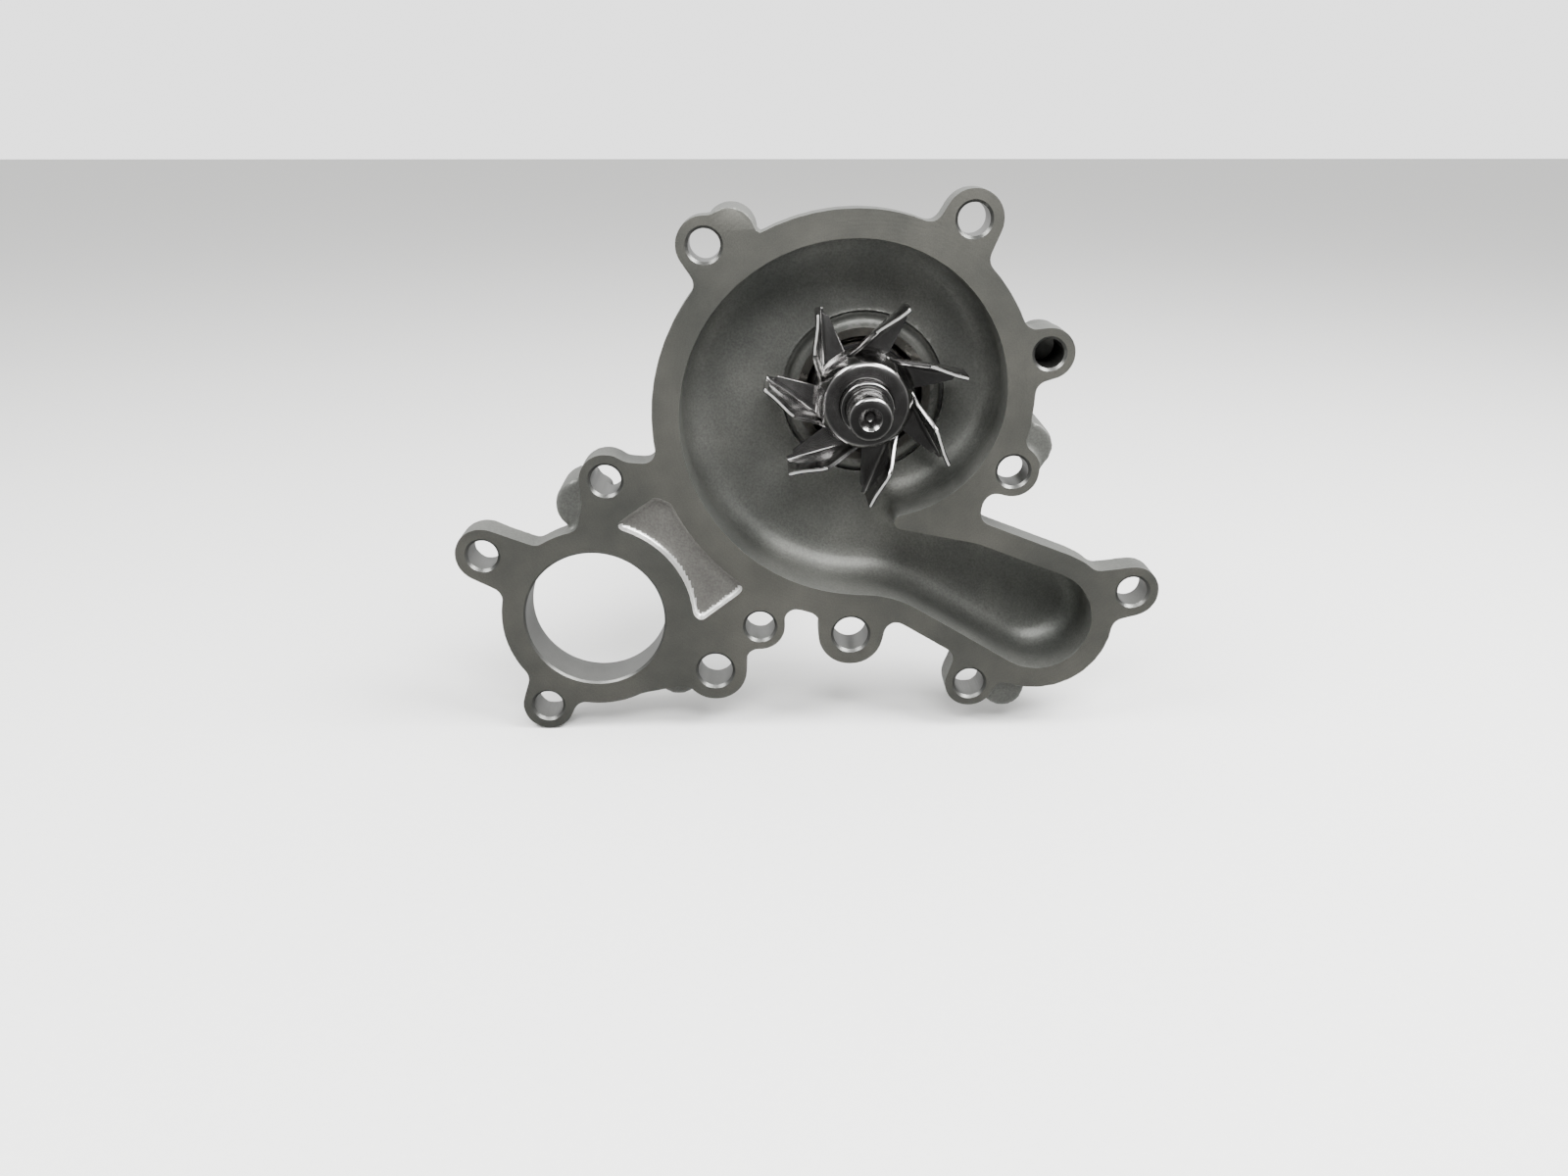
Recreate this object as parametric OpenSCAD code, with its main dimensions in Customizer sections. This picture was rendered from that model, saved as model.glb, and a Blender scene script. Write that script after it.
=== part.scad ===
// Belt-driven engine water pump: cast housing with a volute, outlet channel and inlet port,
// a shaft-and-bearing cartridge, a face seal, a stamped impeller and a pulley hub.
// Shaft along Y, gasket face on the plane Y = 0, engine side towards -Y, all in mm.

/* [Gasket flange] */
// Thickness of the bolting flange at the ears
flange_t = 10; // [7:0.5:14]
// Thickness of the plate around the inlet port
port_t = 12; // [9:0.5:16]
// Radius that blends each ear into the flange edge
neck_r = 3.5; // [2:0.5:5]
// Diameter of the small bolt holes
bolt_d = 9; // [7:0.2:11]
// Diameter of the two large bolt holes
bolt_big_d = 10.6; // [9:0.2:12]
// Diameter of the drilling in the blind boss
blind_d = 8.4; // [6:0.2:10]
// Depth of the drilling in the blind boss
blind_deep = 17; // [10:1:18]

/* [Volute] */
// Gap between the impeller and the wall of the first quarter, next to the tongue
tongue_gap = 6.2; // [4:0.1:9]
// Growth of the wall radius in each quarter turn
volute_grow = 7; // [5:0.5:8]
// Depth of the volute below the gasket face
volute_deep = 22; // [18:0.1:27]
// Radius between the wall and the floor
corner_r = 8; // [4:0.5:10]
// Width of the gasket land around the volute
land_w = 8; // [6:0.5:10]
// Width of the gasket land around the outlet channel
channel_land_w = 6.6; // [5:0.2:8]
// Thickness of the cast wall behind the flange
cast_t = 5; // [4:0.5:7]

/* [Outlet channel] */
// Centre of the closed end to the right of the volute's first quarter
outlet_out = 14.3; // [8:0.1:20]
// Centre of the closed end below the lowest point of the volute
outlet_drop = 8.7; // [5:0.1:12]
// Radius of the closed end
outlet_r = 16; // [13:0.5:18]
// Slope of the lower wall in degrees
lower_slope = 31; // [26:1:36]
// Slope of the upper wall in degrees
upper_slope = 21; // [17:1:25]

/* [Inlet port] */
// Port centre to the left of the shaft
port_x = -81.7; // [-99:0.1:-78]
// Port centre below the shaft
port_z = -65.5; // [-72:0.1:-62]
// Port bore
port_d = 42.4; // [36:0.2:46]
// Outside radius of the ring around the port
port_ring_r = 28.5; // [26:0.5:31]
// Depth of the cast pocket between port and volute
pocket_deep = 4; // [2:0.5:6]

/* [Bearing nose] */
// Wall of the nose around the seal bore
nose_wall = 5.1; // [3.5:0.1:8]
// Length of the drain chamber between the seal and the bearing
drain_len = 6; // [5:0.5:9]
// Length of the bearing outer ring
bearing_len = 38; // [34:0.5:48]
// Wall of the bearing outer ring
race_wall = 2.6; // [2:0.1:4]
// Diameter of the weep hole
weep_d = 5; // [4:0.5:7]

/* [Shaft] */
// Shaft diameter in the bearing and in the hub
shaft_d = 15.92; // [13:0.02:20]
// Shaft diameter in the impeller
tip_d = 12.7; // [11:0.1:13.5]
// Length of shaft standing out past the gasket face
tip_out = 15; // [10:0.5:18]

/* [Impeller] */
// Number of blades
blade_n = 7; // [5:1:9]
// Impeller outside radius
impeller_r = 30.5; // [25:0.1:37]
// Sheet thickness
sheet_t = 1.5; // [1:0.1:2]
// Gap between the star plate and the seal boss behind it
plate_gap = 3.5; // [2.5:0.1:6]
// Outside radius of the drawn hub
cup_r = 12.9; // [11.5:0.1:14]
// Wall of the bush inside the drawn hub
bush_wall = 1.45; // [1:0.05:2.5]
// Turn of the first blade tip from level, in degrees
blade_turn = 68.3; // [0:0.1:90]

/* [Pulley hub] */
// Radius of the hub flange
hub_r = 38; // [34:0.5:42]
// Distance from the end of the nose to the pulley seat
hub_gap = 14; // [11:0.5:20]
// Thickness of the hub flange
hub_t = 6; // [5:0.5:8]
// Bolt circle diameter for the pulley
hub_pcd = 58; // [50:1:62]
// Diameter of the tapped pulley holes
hub_hole_d = 6.8; // [5:0.1:8.6]
// Diameter of the pilot that centres the pulley
pilot_d = 27; // [24:0.5:32]

/* [Face seal] */
// Width of the seal, from the bore of its mating ring to the housing bore
seal_room = 9; // [8.4:0.1:11]
// Height of the seal boss above the volute floor
seal_boss = 4; // [3:0.5:5]

/* [Hidden] */
eps = 0.05;
over = 2;
// half of one quarter's growth: the offset of the arc centres from the shaft
vo = volute_grow / 2;
r0 = impeller_r + tongue_gap;
r1 = r0 + volute_grow;
r2 = r0 + 2 * volute_grow;
r3 = r2 + 3.6;
c0 = [vo, vo];
c1 = [-vo, vo];
c2 = [-vo, -vo];
c3 = [3.6 - vo, -vo];
// lowest point of the volute wall, where the channel starts
low_z = c3[1] - r3;
outlet_x = c0[0] + r0 + outlet_out;
outlet_z = low_z - outlet_drop;
// tangent points on the closed end and the bend that joins it to the volute
end_low = [outlet_x - outlet_r * sin(lower_slope), outlet_z - outlet_r * cos(lower_slope)];
end_up = [outlet_x + outlet_r * sin(upper_slope), outlet_z + outlet_r * cos(upper_slope)];
low_gap = low_z - end_low[1] - (end_low[0] - c3[0]) * tan(lower_slope);
bend_r = -low_gap / ((sin(lower_slope) * tan(lower_slope)) - (1 - cos(lower_slope)));
bend_end = [c3[0] + bend_r * sin(lower_slope), low_z - bend_r * (1 - cos(lower_slope))];
// the upper wall turns a little towards the tongue
knee_x = outlet_x - 20.5;
knee = [knee_x, end_up[1] + (end_up[0] - knee_x) * tan(upper_slope)];
tongue_slope = 11;
tongue_x = 10.5;
tongue = [tongue_x, knee[1] + (knee_x - tongue_x) * tan(tongue_slope)];
// round nose that touches the volute wall and the channel's upper wall
nose_n = unit(90 - tongue_slope);
nose_rad = ((tongue - c0) * (tongue - c0) - r0 * r0) / (2 * (r0 - (tongue - c0) * nose_n));
nose_c = tongue + nose_rad * nose_n;
nose_turn = atan2(nose_c[1] - c0[1], nose_c[0] - c0[0]);
nose_sweep = (90 - tongue_slope - nose_turn) / 8;
// the corner radius leaves a flat floor in the throat
bend_c = [c3[0], low_z - bend_r];
throat = norm(nose_c - bend_c) - bend_r - nose_rad;
corner = min(corner_r, throat / 2 - 1);
port_c = [port_x, port_z];
// blades stand on lines that touch a circle round the hub
foot_r = cup_r + 0.6;
lean = acos(foot_r / impeller_r);
plate_r = cup_r + 2.2;
notch = lean - acos(foot_r / plate_r);
body_back = volute_deep + cast_t;
boss_top = volute_deep - seal_boss;
plate_back = boss_top - plate_gap;
shaft_r = shaft_d / 2;
tip_r = tip_d / 2;
bush_r = tip_r + bush_wall;
// the seal fits between the shaft and its bore in the nose
seal_in = shaft_r + 1.44;
seal_d = 2 * (seal_in + seal_room);
nose_r = seal_d / 2 + nose_wall;
// point outside an arc of the volute wall
function beside(c, r, out, a) = c + (r + out) * [cos(a), sin(a)];
// bolt ears: centre, ear radius, hole diameter, length, and the step to the point each one grows from
ear_top_left = [beside(c2, r2, 14, 131), 8, bolt_d, flange_t, [9, -11.3]];
ear_top_right = [beside(c1, r1, 14.3, 57), 8.3, bolt_d, flange_t, [-6.1, -12.1]];
ear_right = [beside(c1, r1, 12.5, 12.2), 7.4, 0, 20, [-11.4, -2.4]];
ear_lower_right = [beside(c0, r0, 9.1, -29.6), 7.7, bolt_d, flange_t, [-11.3, 4.1]];
ear_outlet = [[outlet_x + 27.7, outlet_z + 9.4], 8, bolt_d, flange_t, [-15.2, -2.9]];
ear_bottom_right = [[outlet_x - 20.5, outlet_z - 21], 7.7, bolt_d, port_t, [5, 11.5]];
ear_bottom = [beside(c3, r3, 13.1, 267), 10, bolt_big_d, port_t, [2, 14.8]];
ear_bottom_left = [port_c + [36.5, -17.4], 9.8, bolt_big_d, port_t, [-1.8, 20.9]];
ear_pocket = [beside(c3, r3, 17.5, 244.1), 7.7, bolt_d, port_t, [-2.7, 12.1]];
ear_port_low = [port_c + [-16.1, -29.2], 7.9, bolt_d, port_t, [5.8, 14.7]];
ear_port_left = [port_c + [-32.6, 20.7], 8.3, bolt_d, port_t, [16.3, -7.2]];
ear_port_top = [port_c + [5.4, 43.9], 7.9, bolt_d, port_t, [2.3, -14.4]];
EARS = [ear_top_left, ear_top_right, ear_right, ear_lower_right, ear_outlet, ear_bottom_right,
        ear_bottom, ear_bottom_left, ear_pocket, ear_port_low, ear_port_left, ear_port_top];
// bearing, built up from the shaft, and the chain of distances behind the seal
seal_end = boss_top + 12;
bearing_in = seal_end + drain_len;
nose_end = bearing_in + bearing_len;
hub_face = nose_end + hub_gap;
roller_r = 2;
roller_len = 10;
roller_pitch = shaft_r + roller_r + 0.22;
roller_n = 9;
roller_at = nose_end - 12;
race_r = roller_pitch + roller_r + 0.22;
bearing_r = race_r + race_wall;
ball_r = 2.8;
ball_pitch = shaft_r + 2.44;
ball_n = 8;
ball_at = bearing_in + 10;
track_gap = 0.25;
// face seal, distances from the gasket face
mate_front = plate_back + 0.9;
mate_back = mate_front + 2.8;
carbon_front = mate_back + 0.05;
carbon_back = carbon_front + 4;

function arc(c, r, a0, a1, n) = [for (i = [0 : n]) c + r * [cos(a0 + (a1 - a0) * i / n), sin(a0 + (a1 - a0) * i / n)]];
function unit(a) = [cos(a), sin(a)];

// drawing frame: x to the right and y up on the gasket face, z towards the engine
module on_face() {
    rotate([90, 0, 0]) children();
}

// points of an arc after its first one
function arc_on(c, r, a0, a1, n) = [for (i = [1 : n]) c + r * unit(a0 + (a1 - a0) * i / n)];

// wall of the volute from its start angle, then the bend, the sloping wall and the closed end of the channel
function spiral(t, from) = concat(
    arc(c0, r0 + t, from, 0, 14),
    arc_on(c1, r1 + t, 0, 90, 15),
    arc_on(c2, r2 + t, 90, 180, 15),
    arc_on(c3, r3 + t, 180, 270, 15),
    arc_on(bend_c, bend_r - t, 90, 90 - lower_slope, 6),
    arc([outlet_x, outlet_z], outlet_r + t, 270 - lower_slope, 450 - upper_slope, 16),
    [knee + t / cos((upper_slope - tongue_slope) / 2) * unit(90 - (upper_slope + tongue_slope) / 2)]);

// water space, its wall moved by t, with the round nose of the tongue
function wet_line(t) = concat(spiral(t, nose_turn),
    arc(nose_c, nose_rad - t, 270 - tongue_slope, 270 - tongue_slope - 7 * nose_sweep, 7));

function at_height(line, z) = [for (p = line) [p[0], p[1], z]];

// solid between rings of points, all rings equally long and the first one on top
module skin(rings) {
    n = len(rings[0]);
    m = len(rings);
    polyhedron(points = [for (r = rings) each r], faces = concat(
        [[for (i = [n - 1 : -1 : 0]) i]],
        [[for (i = [0 : n - 1]) (m - 1) * n + i]],
        [for (k = [0 : m - 2]) for (i = [0 : n - 1])
            let (j = (i + 1) % n) [k * n + i, k * n + j, (k + 1) * n + j]],
        [for (k = [0 : m - 2]) for (i = [0 : n - 1])
            let (j = (i + 1) % n) [k * n + i, (k + 1) * n + j, (k + 1) * n + i]]));
}

module water_space() {
    n = 4;
    skin(concat([at_height(wet_line(0), over)],
        [for (i = [0 : n]) let (a = 90 * i / n)
            at_height(wet_line(-corner * (1 - cos(a))), corner - volute_deep - corner * sin(a))]));
}

// cast wall around the water space, filled
module volute_shell() {
    n = 4;
    r = corner + cast_t;
    difference() {
        skin(concat([at_height(spiral(cast_t, -60), over)],
            [for (i = [0 : n]) let (a = 90 * i / n)
                at_height(spiral(cast_t - r * (1 - cos(a)), -60), r - body_back - r * sin(a))]));
        translate([port_x - 60, outlet_z - 60, -over]) cube([320, 300, 3 * over]);
    }
}

// outline of the water space in the plane of the gasket face
module scroll_outline(g, gc) {
    polygon(concat(arc(c0, r0 + g, -75, 0, 12), arc(c1, r1 + g, 0, 90, 16), arc(c2, r2 + g, 90, 180, 16),
                   arc(c3, r3 + g, 180, 262, 15),
                   arc([c3[0], low_z - bend_r], bend_r - gc, 90, 90 - lower_slope, 6),
                   arc([outlet_x, outlet_z], outlet_r + gc, 270 - lower_slope, 450 - upper_slope, 16),
                   [knee + (gc + eps) * unit(90 - upper_slope + 4), tongue + gc * unit(90 - tongue_slope)]));
}

module ear_outline(e) {
    root = e[0] + e[4];
    a = atan2(e[4][1], e[4][0]);
    translate(e[0]) circle(r = e[1], $fn = 36);
    polygon([e[0] + e[1] * unit(a + 90), root + (e[1] + 1) * unit(a + 90),
             root + (e[1] + 1) * unit(a - 90), e[0] + e[1] * unit(a - 90)]);
}

module flange_outline() {
    offset(r = -neck_r, $fn = 24) offset(r = neck_r, $fn = 24) union() {
        scroll_outline(land_w, channel_land_w);
        for (e = EARS) ear_outline(e);
        port_outline();
        // closes the corner between the tongue and the lower right ear
        polygon([tongue + [-4.5, 2.9], knee + [0, 7], ear_lower_right[0] + [-5.3, 7.1], c0 + [16.5, -23.5]]);
    }
}

module port_outline() {
    translate(port_c) circle(r = port_ring_r, $fn = 64);
    polygon([port_c + [11.7, 49.5], beside(c3, r3, -2.1, 196.1), beside(c3, r3, 1.1, 237.1),
             beside(c3, r3, 9, 247.6), ear_pocket[0] + [-5.7, -5.9], port_c + [26.7, -22.5],
             port_c + [6.7, -26.5], port_c + [-8.3, 5.5], port_c + [-2.3, 35.5]]);
}

// bosses that bring the port's ears to the thickness of the port plate
module thick_ears() {
    for (e = EARS) if (e[3] == port_t)
        translate([e[0][0], e[0][1], -port_t]) cylinder(h = port_t - 1, r = e[1] - 0.5, $fn = 48);
}

module pocket() {
    translate([0, 0, -pocket_deep]) linear_extrude(pocket_deep + over)
        offset(r = 1.5, $fn = 24) offset(r = -1.5) difference() {
            polygon([port_c + [19.7, 39], port_c + [5.7, 29], port_c + [19.7, 13.5], port_c + [32.2, -1],
                     ear_pocket[0] + [-5.2, 11.6], beside(c3, r3, -2.7, 219)]);
            translate(port_c) circle(r = port_ring_r + 1.6, $fn = 80);
            scroll_outline(land_w + 0.3, land_w);
        }
}

module rear_boss(at, r, from, to) {
    translate([at[0], at[1], -to]) cylinder(h = to - from, r = r, $fn = 48);
}

module nose_rib(a, reach) {
    rotate([0, 0, a]) translate([0, 0, -nose_end + 14]) rotate([90, 0, 0]) translate([0, 0, -2.5])
        linear_extrude(5) polygon([[nose_r - 2, 0], [nose_r + 2, 0], [reach, nose_end - 16 - body_back],
                                   [reach, nose_end - 14 - body_back + 3], [nose_r - 2, nose_end - 14 - body_back + 3]]);
}

module housing_cast() {
    translate([0, 0, -flange_t]) linear_extrude(flange_t) flange_outline();
    thick_ears();
    volute_shell();
    // bearing nose with its ribs
    translate([0, 0, -nose_end]) cylinder(h = nose_end - boss_top, r = nose_r, $fn = 96);
    for (a = [30, 90, 150, 210, 330]) nose_rib(a, r0 + 5.3);
    // bosses behind the flange
    rear_boss(ear_top_left[0] + [7, 2.7], 7.5, 1, 22);
    rear_boss(ear_lower_right[0] + [3.7, 7.1], 7.5, 2, 24);
    rear_boss(port_c + [-2.3, 35.5], 8, 4, 20);
    rear_boss(ear_bottom_left[0] + [-11.8, -3.1], 6.5, 4, 18);
    rear_boss(ear_bottom_right[0] + [11, -2.5], 6.5, 3, 16);
    rear_boss(ear_right[0], ear_right[1] - 0.5, 2, 20);
    // inlet neck around the port on the pulley side
    rear_boss(port_c, port_ring_r - 2, 2, port_t + 3);
}

module housing() {
    color([0.42, 0.44, 0.42]) on_face() difference() {
        housing_cast();
        difference() {
            water_space();
            translate([0, 0, -volute_deep - 1]) cylinder(h = seal_boss + 1, r = nose_r, $fn = 96);
        }
        pocket();
        // inlet port
        translate([port_x, port_z, -port_t - 10]) cylinder(h = port_t + 20, d = port_d, $fn = 96);
        // bolt holes
        for (e = EARS) if (e[2] > 0)
            translate([e[0][0], e[0][1], -40]) cylinder(h = 50, d = e[2], $fn = 48);
        translate([ear_right[0][0], ear_right[0][1], -blind_deep]) cylinder(h = blind_deep + over, d = blind_d, $fn = 48);
        // seal bore, drain chamber and bearing bore
        translate([0, 0, -seal_end]) cylinder(h = seal_end, d = seal_d, $fn = 96);
        translate([0, 0, -bearing_in - 1]) cylinder(h = bearing_in, r = race_r + 0.6, $fn = 96);
        translate([0, 0, -nose_end - 1]) cylinder(h = bearing_len + 1, r = bearing_r, $fn = 96);
        // weep hole, straight down from the drain chamber
        translate([0, 0, -(seal_end + bearing_in) / 2]) rotate([90, 0, 0]) cylinder(h = 45, d = weep_d, $fn = 32);
    }
}

// ring between two radii and two distances behind the gasket face
module ring(ra, rb, from, to) {
    on_face() translate([0, 0, -to]) difference() {
        cylinder(h = to - from, r = rb, $fn = 96);
        translate([0, 0, -1]) cylinder(h = to - from + 2, r = ra, $fn = 96);
    }
}

module groove(pitch, r, at) {
    on_face() translate([0, 0, -at]) rotate_extrude($fn = 96) translate([pitch, 0]) circle(r = r, $fn = 48);
}

module bearing_outer_ring() {
    color([0.62, 0.64, 0.66]) difference() {
        ring(race_r, bearing_r, bearing_in, nose_end);
        groove(ball_pitch, ball_r + track_gap, ball_at);
        // seats for the two lip seals
        ring(race_r - 1, race_r + 0.6, bearing_in - 1, bearing_in + 2.4);
        ring(race_r - 1, race_r + 0.6, nose_end - 2.4, nose_end + 1);
    }
}

module bearing_balls() {
    color([0.75, 0.76, 0.78]) for (i = [0 : ball_n - 1])
        rotate([0, i * 360 / ball_n, 0]) translate([ball_pitch, ball_at, 0]) sphere(r = ball_r, $fn = 48);
}

module ball_cage() {
    color([0.25, 0.26, 0.28]) difference() {
        ring(ball_pitch - 0.9, ball_pitch + 0.9, ball_at - 3.6, ball_at + 3.6);
        for (i = [0 : ball_n - 1])
            rotate([0, i * 360 / ball_n, 0]) translate([ball_pitch - 3, ball_at, 0])
                rotate([0, 90, 0]) cylinder(h = 6, r = ball_r + 0.05, $fn = 48);
    }
}

module bearing_rollers() {
    color([0.75, 0.76, 0.78]) for (i = [0 : roller_n - 1])
        rotate([0, i * 360 / roller_n, 0]) translate([roller_pitch, roller_at - roller_len / 2, 0])
            rotate([-90, 0, 0]) cylinder(h = roller_len, r = roller_r, $fn = 48);
}

module roller_cage() {
    color([0.25, 0.26, 0.28]) difference() {
        ring(roller_pitch - 0.8, roller_pitch + 0.8, roller_at - 7, roller_at + 7);
        for (i = [0 : roller_n - 1])
            rotate([0, i * 360 / roller_n, 0]) translate([roller_pitch, roller_at - roller_len / 2 - 0.05, 0])
                rotate([-90, 0, 0]) cylinder(h = roller_len + 0.1, r = roller_r + 0.05, $fn = 48);
    }
}

module bearing_seal_front() {
    color([0.12, 0.12, 0.13]) ring(shaft_r + 0.3, race_r + 0.6, bearing_in + 0.8, bearing_in + 2.4);
}

module bearing_seal_rear() {
    color([0.12, 0.12, 0.13]) ring(shaft_r + 0.3, race_r + 0.6, nose_end - 2.4, nose_end - 0.8);
}

module shaft() {
    step = plate_back - 0.5;
    end = hub_face + 3;
    color([0.72, 0.73, 0.75]) difference() {
        on_face() rotate_extrude($fn = 96) difference() {
            polygon([[0, -end], [shaft_r - 0.8, -end], [shaft_r, -end + 0.8], [shaft_r, -step - 0.6], [shaft_r - 0.6, -step],
                     [tip_r, -step], [tip_r, tip_out - 1.4], [tip_r - 1.2, tip_out], [0, tip_out]]);
            translate([ball_pitch, -ball_at]) circle(r = ball_r + track_gap, $fn = 48);
            // centre drilling in the impeller end
            polygon([[0, tip_out - 4], [1.2, tip_out - 3.4], [1.2, tip_out - 2.4], [3.4, tip_out + 0.1], [0, tip_out + 0.1]]);
            polygon([[0, -end + 4], [1.2, -end + 3.4], [1.2, -end + 2.4], [3.4, -end - 0.1], [0, -end - 0.1]]);
        }
    }
}

module pulley_hub() {
    color([0.5, 0.5, 0.5]) difference() {
        union() {
            ring(shaft_r, hub_r, hub_face - hub_t, hub_face);
            ring(shaft_r, shaft_r + 6.04, nose_end + 1.5, hub_face);
            ring(shaft_r, pilot_d / 2, hub_face - 1, hub_face + 3);
        }
        for (i = [0 : 3]) rotate([0, 45 + i * 90, 0]) translate([hub_pcd / 2, hub_face - hub_t - 1, 0])
            rotate([-90, 0, 0]) cylinder(h = hub_t + 2, d = hub_hole_d, $fn = 32);
    }
}

// one arm of the star plate with the blade that stands on its straight edge
module blade() {
    tip = impeller_r * unit(0);
    foot = foot_r * unit(lean);
    run = norm(tip - foot);
    turn = atan2(tip[1] - foot[1], tip[0] - foot[0]);
    // blade: full height over the outer half, sloping down towards the hub
    translate([foot[0], foot[1], -plate_back]) rotate([0, 0, turn]) rotate([90, 0, 0])
        linear_extrude(sheet_t) polygon([[3, 0.3], [run, 0.3], [run, plate_back - 0.3], [run - 13, plate_back - 0.3],
                                         [run - 22, 6], [3, 3]]);
}

// star plate: each arm runs from the hub out to its tip and back along the foot of its blade
function star_line() = [for (i = [0 : blade_n - 1]) let (a = blade_turn + i * 360 / blade_n)
    each concat([impeller_r * unit(a)], arc([0, 0], plate_r, a + notch, a + 360 / blade_n - 5, 3))];

module impeller() {
    rim = 2.2;
    color([0.78, 0.79, 0.8]) on_face() difference() {
        union() {
            translate([0, 0, -plate_back]) linear_extrude(sheet_t) polygon(star_line());
            for (i = [0 : blade_n - 1]) rotate([0, 0, blade_turn + i * 360 / blade_n]) blade();
            // drawn hub with rounded rim and a small flare at the plate
            rotate_extrude($fn = 96) polygon(concat([[bush_r - 1, 0.3 - plate_back], [cup_r + 1.2, 0.3 - plate_back]],
                arc([cup_r + 1.4, -plate_back + sheet_t + 1.2], 1.4, 255, 180, 4),
                arc([cup_r - rim, -2.4 - rim], rim, 0, 90, 5), [[bush_r - 1, -2.4]]));
        }
        // hollow of the cup, open at the back
        translate([0, 0, -plate_back - 1]) cylinder(h = plate_back + 1 - 2.4 - sheet_t, r = cup_r - sheet_t, $fn = 96);
        translate([0, 0, -plate_back - 1]) cylinder(h = plate_back + 3, r = bush_r, $fn = 96);
    }
}

module impeller_bush() {
    color([0.7, 0.71, 0.73]) difference() {
        union() {
            ring(tip_r, bush_r, -2, plate_back - 0.5);
        }
    }
}

module seal_cup() {
    r = seal_d / 2;
    color([0.72, 0.6, 0.35]) on_face() rotate_extrude($fn = 96)
        polygon([[r, -seal_end + 0.5], [r, -boss_top], [r + 1.6, -boss_top], [r + 1.6, -boss_top + 0.8],
                 [r - 0.8, -boss_top + 0.8], [r - 0.8, -seal_end + 1.3], [shaft_r + 3, -seal_end + 1.3],
                 [shaft_r + 3, -seal_end + 0.5]]);
}

module seal_bellows() {
    a = carbon_back;
    b = seal_end - 1.3;
    color([0.08, 0.08, 0.09]) on_face() rotate_extrude($fn = 96)
        translate([seal_in, 0]) polygon([[1.2, -b], [7.2, -b], [7.2, -b + 1.3], [2.6, -b + 1.3], [2.6, -a - 3.2],
                 [5.6, -a - 1.6], [5.6, -a], [0.2, -a], [0.2, -a - 1.4], [3.2, -a - 1.6], [1.2, -a - 3]]);
}

// round wire wound between the bellows and the cup
module seal_spring() {
    wire = 0.5;
    coil_r = seal_in + 6.2;
    lo = -(seal_end - 2.6) + wire;
    hi = -(carbon_back + 1.2) - wire;
    turns = 2.5;
    seg = 50;
    side = 8;
    pts = [for (i = [0 : seg]) for (j = [0 : side - 1])
        let (a = 360 * turns * i / seg, b = 360 * j / side, r = coil_r + wire * cos(b))
            [r * cos(a), r * sin(a), lo + (hi - lo) * i / seg + wire * sin(b)]];
    skin = [for (i = [0 : seg - 1]) for (j = [0 : side - 1])
        let (k = (j + 1) % side) [i * side + j, i * side + k, (i + 1) * side + k, (i + 1) * side + j]];
    color([0.7, 0.7, 0.72]) on_face() polyhedron(points = pts,
        faces = concat(skin, [[for (j = [side - 1 : -1 : 0]) j], [for (j = [0 : side - 1]) seg * side + j]]));
}

module seal_carbon_ring() {
    color([0.15, 0.15, 0.16]) union() {
        ring(seal_in + 0.2, seal_in + 5.6, carbon_front + 1, carbon_back);
        ring(seal_in + 0.6, seal_in + 3.2, carbon_front, carbon_front + 1.2);
    }
}

module seal_band() {
    color([0.72, 0.6, 0.35]) ring(seal_in + 5.6, seal_in + 6.2, carbon_front + 1.4, carbon_back + 1);
}

module mating_ring() {
    color([0.85, 0.83, 0.78]) ring(seal_in, seal_in + 4.2, mate_front, mate_back);
}

module mating_ring_boot() {
    color([0.1, 0.1, 0.11]) union() {
        ring(shaft_r, seal_in, plate_back + 0.3, mate_back);
        ring(shaft_r, seal_in + 4.2, plate_back + 0.3, mate_front);
    }
}

module slinger() {
    color([0.2, 0.2, 0.22]) union() {
        ring(shaft_r, shaft_r + 1.24, seal_end + 1.2, bearing_in - 1);
        ring(shaft_r, shaft_r + 3.64, seal_end + 1.8, seal_end + 2.8);
    }
}

housing();
bearing_outer_ring();
bearing_balls();
ball_cage();
bearing_rollers();
roller_cage();
bearing_seal_front();
bearing_seal_rear();
shaft();
pulley_hub();
impeller();
impeller_bush();
seal_cup();
seal_bellows();
seal_spring();
seal_carbon_ring();
seal_band();
mating_ring();
mating_ring_boot();
slinger();
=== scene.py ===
import bpy
import bmesh
import math
from mathutils import Vector, Matrix


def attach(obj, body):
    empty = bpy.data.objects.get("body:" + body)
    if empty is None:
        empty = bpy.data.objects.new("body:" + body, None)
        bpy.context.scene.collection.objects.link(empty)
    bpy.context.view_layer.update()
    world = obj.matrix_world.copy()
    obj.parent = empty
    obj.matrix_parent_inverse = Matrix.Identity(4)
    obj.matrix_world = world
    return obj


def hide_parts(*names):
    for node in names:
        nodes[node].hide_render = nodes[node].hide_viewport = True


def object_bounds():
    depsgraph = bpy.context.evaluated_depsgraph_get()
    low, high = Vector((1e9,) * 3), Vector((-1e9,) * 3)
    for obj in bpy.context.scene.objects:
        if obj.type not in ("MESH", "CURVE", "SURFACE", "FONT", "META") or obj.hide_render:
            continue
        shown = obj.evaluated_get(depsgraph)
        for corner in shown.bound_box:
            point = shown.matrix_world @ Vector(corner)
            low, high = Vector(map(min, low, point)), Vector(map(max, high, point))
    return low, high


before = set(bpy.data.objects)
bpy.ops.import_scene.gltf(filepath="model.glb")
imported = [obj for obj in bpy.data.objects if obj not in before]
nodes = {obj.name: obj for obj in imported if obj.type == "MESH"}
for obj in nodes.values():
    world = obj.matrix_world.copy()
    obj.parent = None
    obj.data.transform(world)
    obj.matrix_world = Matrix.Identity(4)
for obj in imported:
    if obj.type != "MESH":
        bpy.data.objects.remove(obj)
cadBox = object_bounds()
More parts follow.
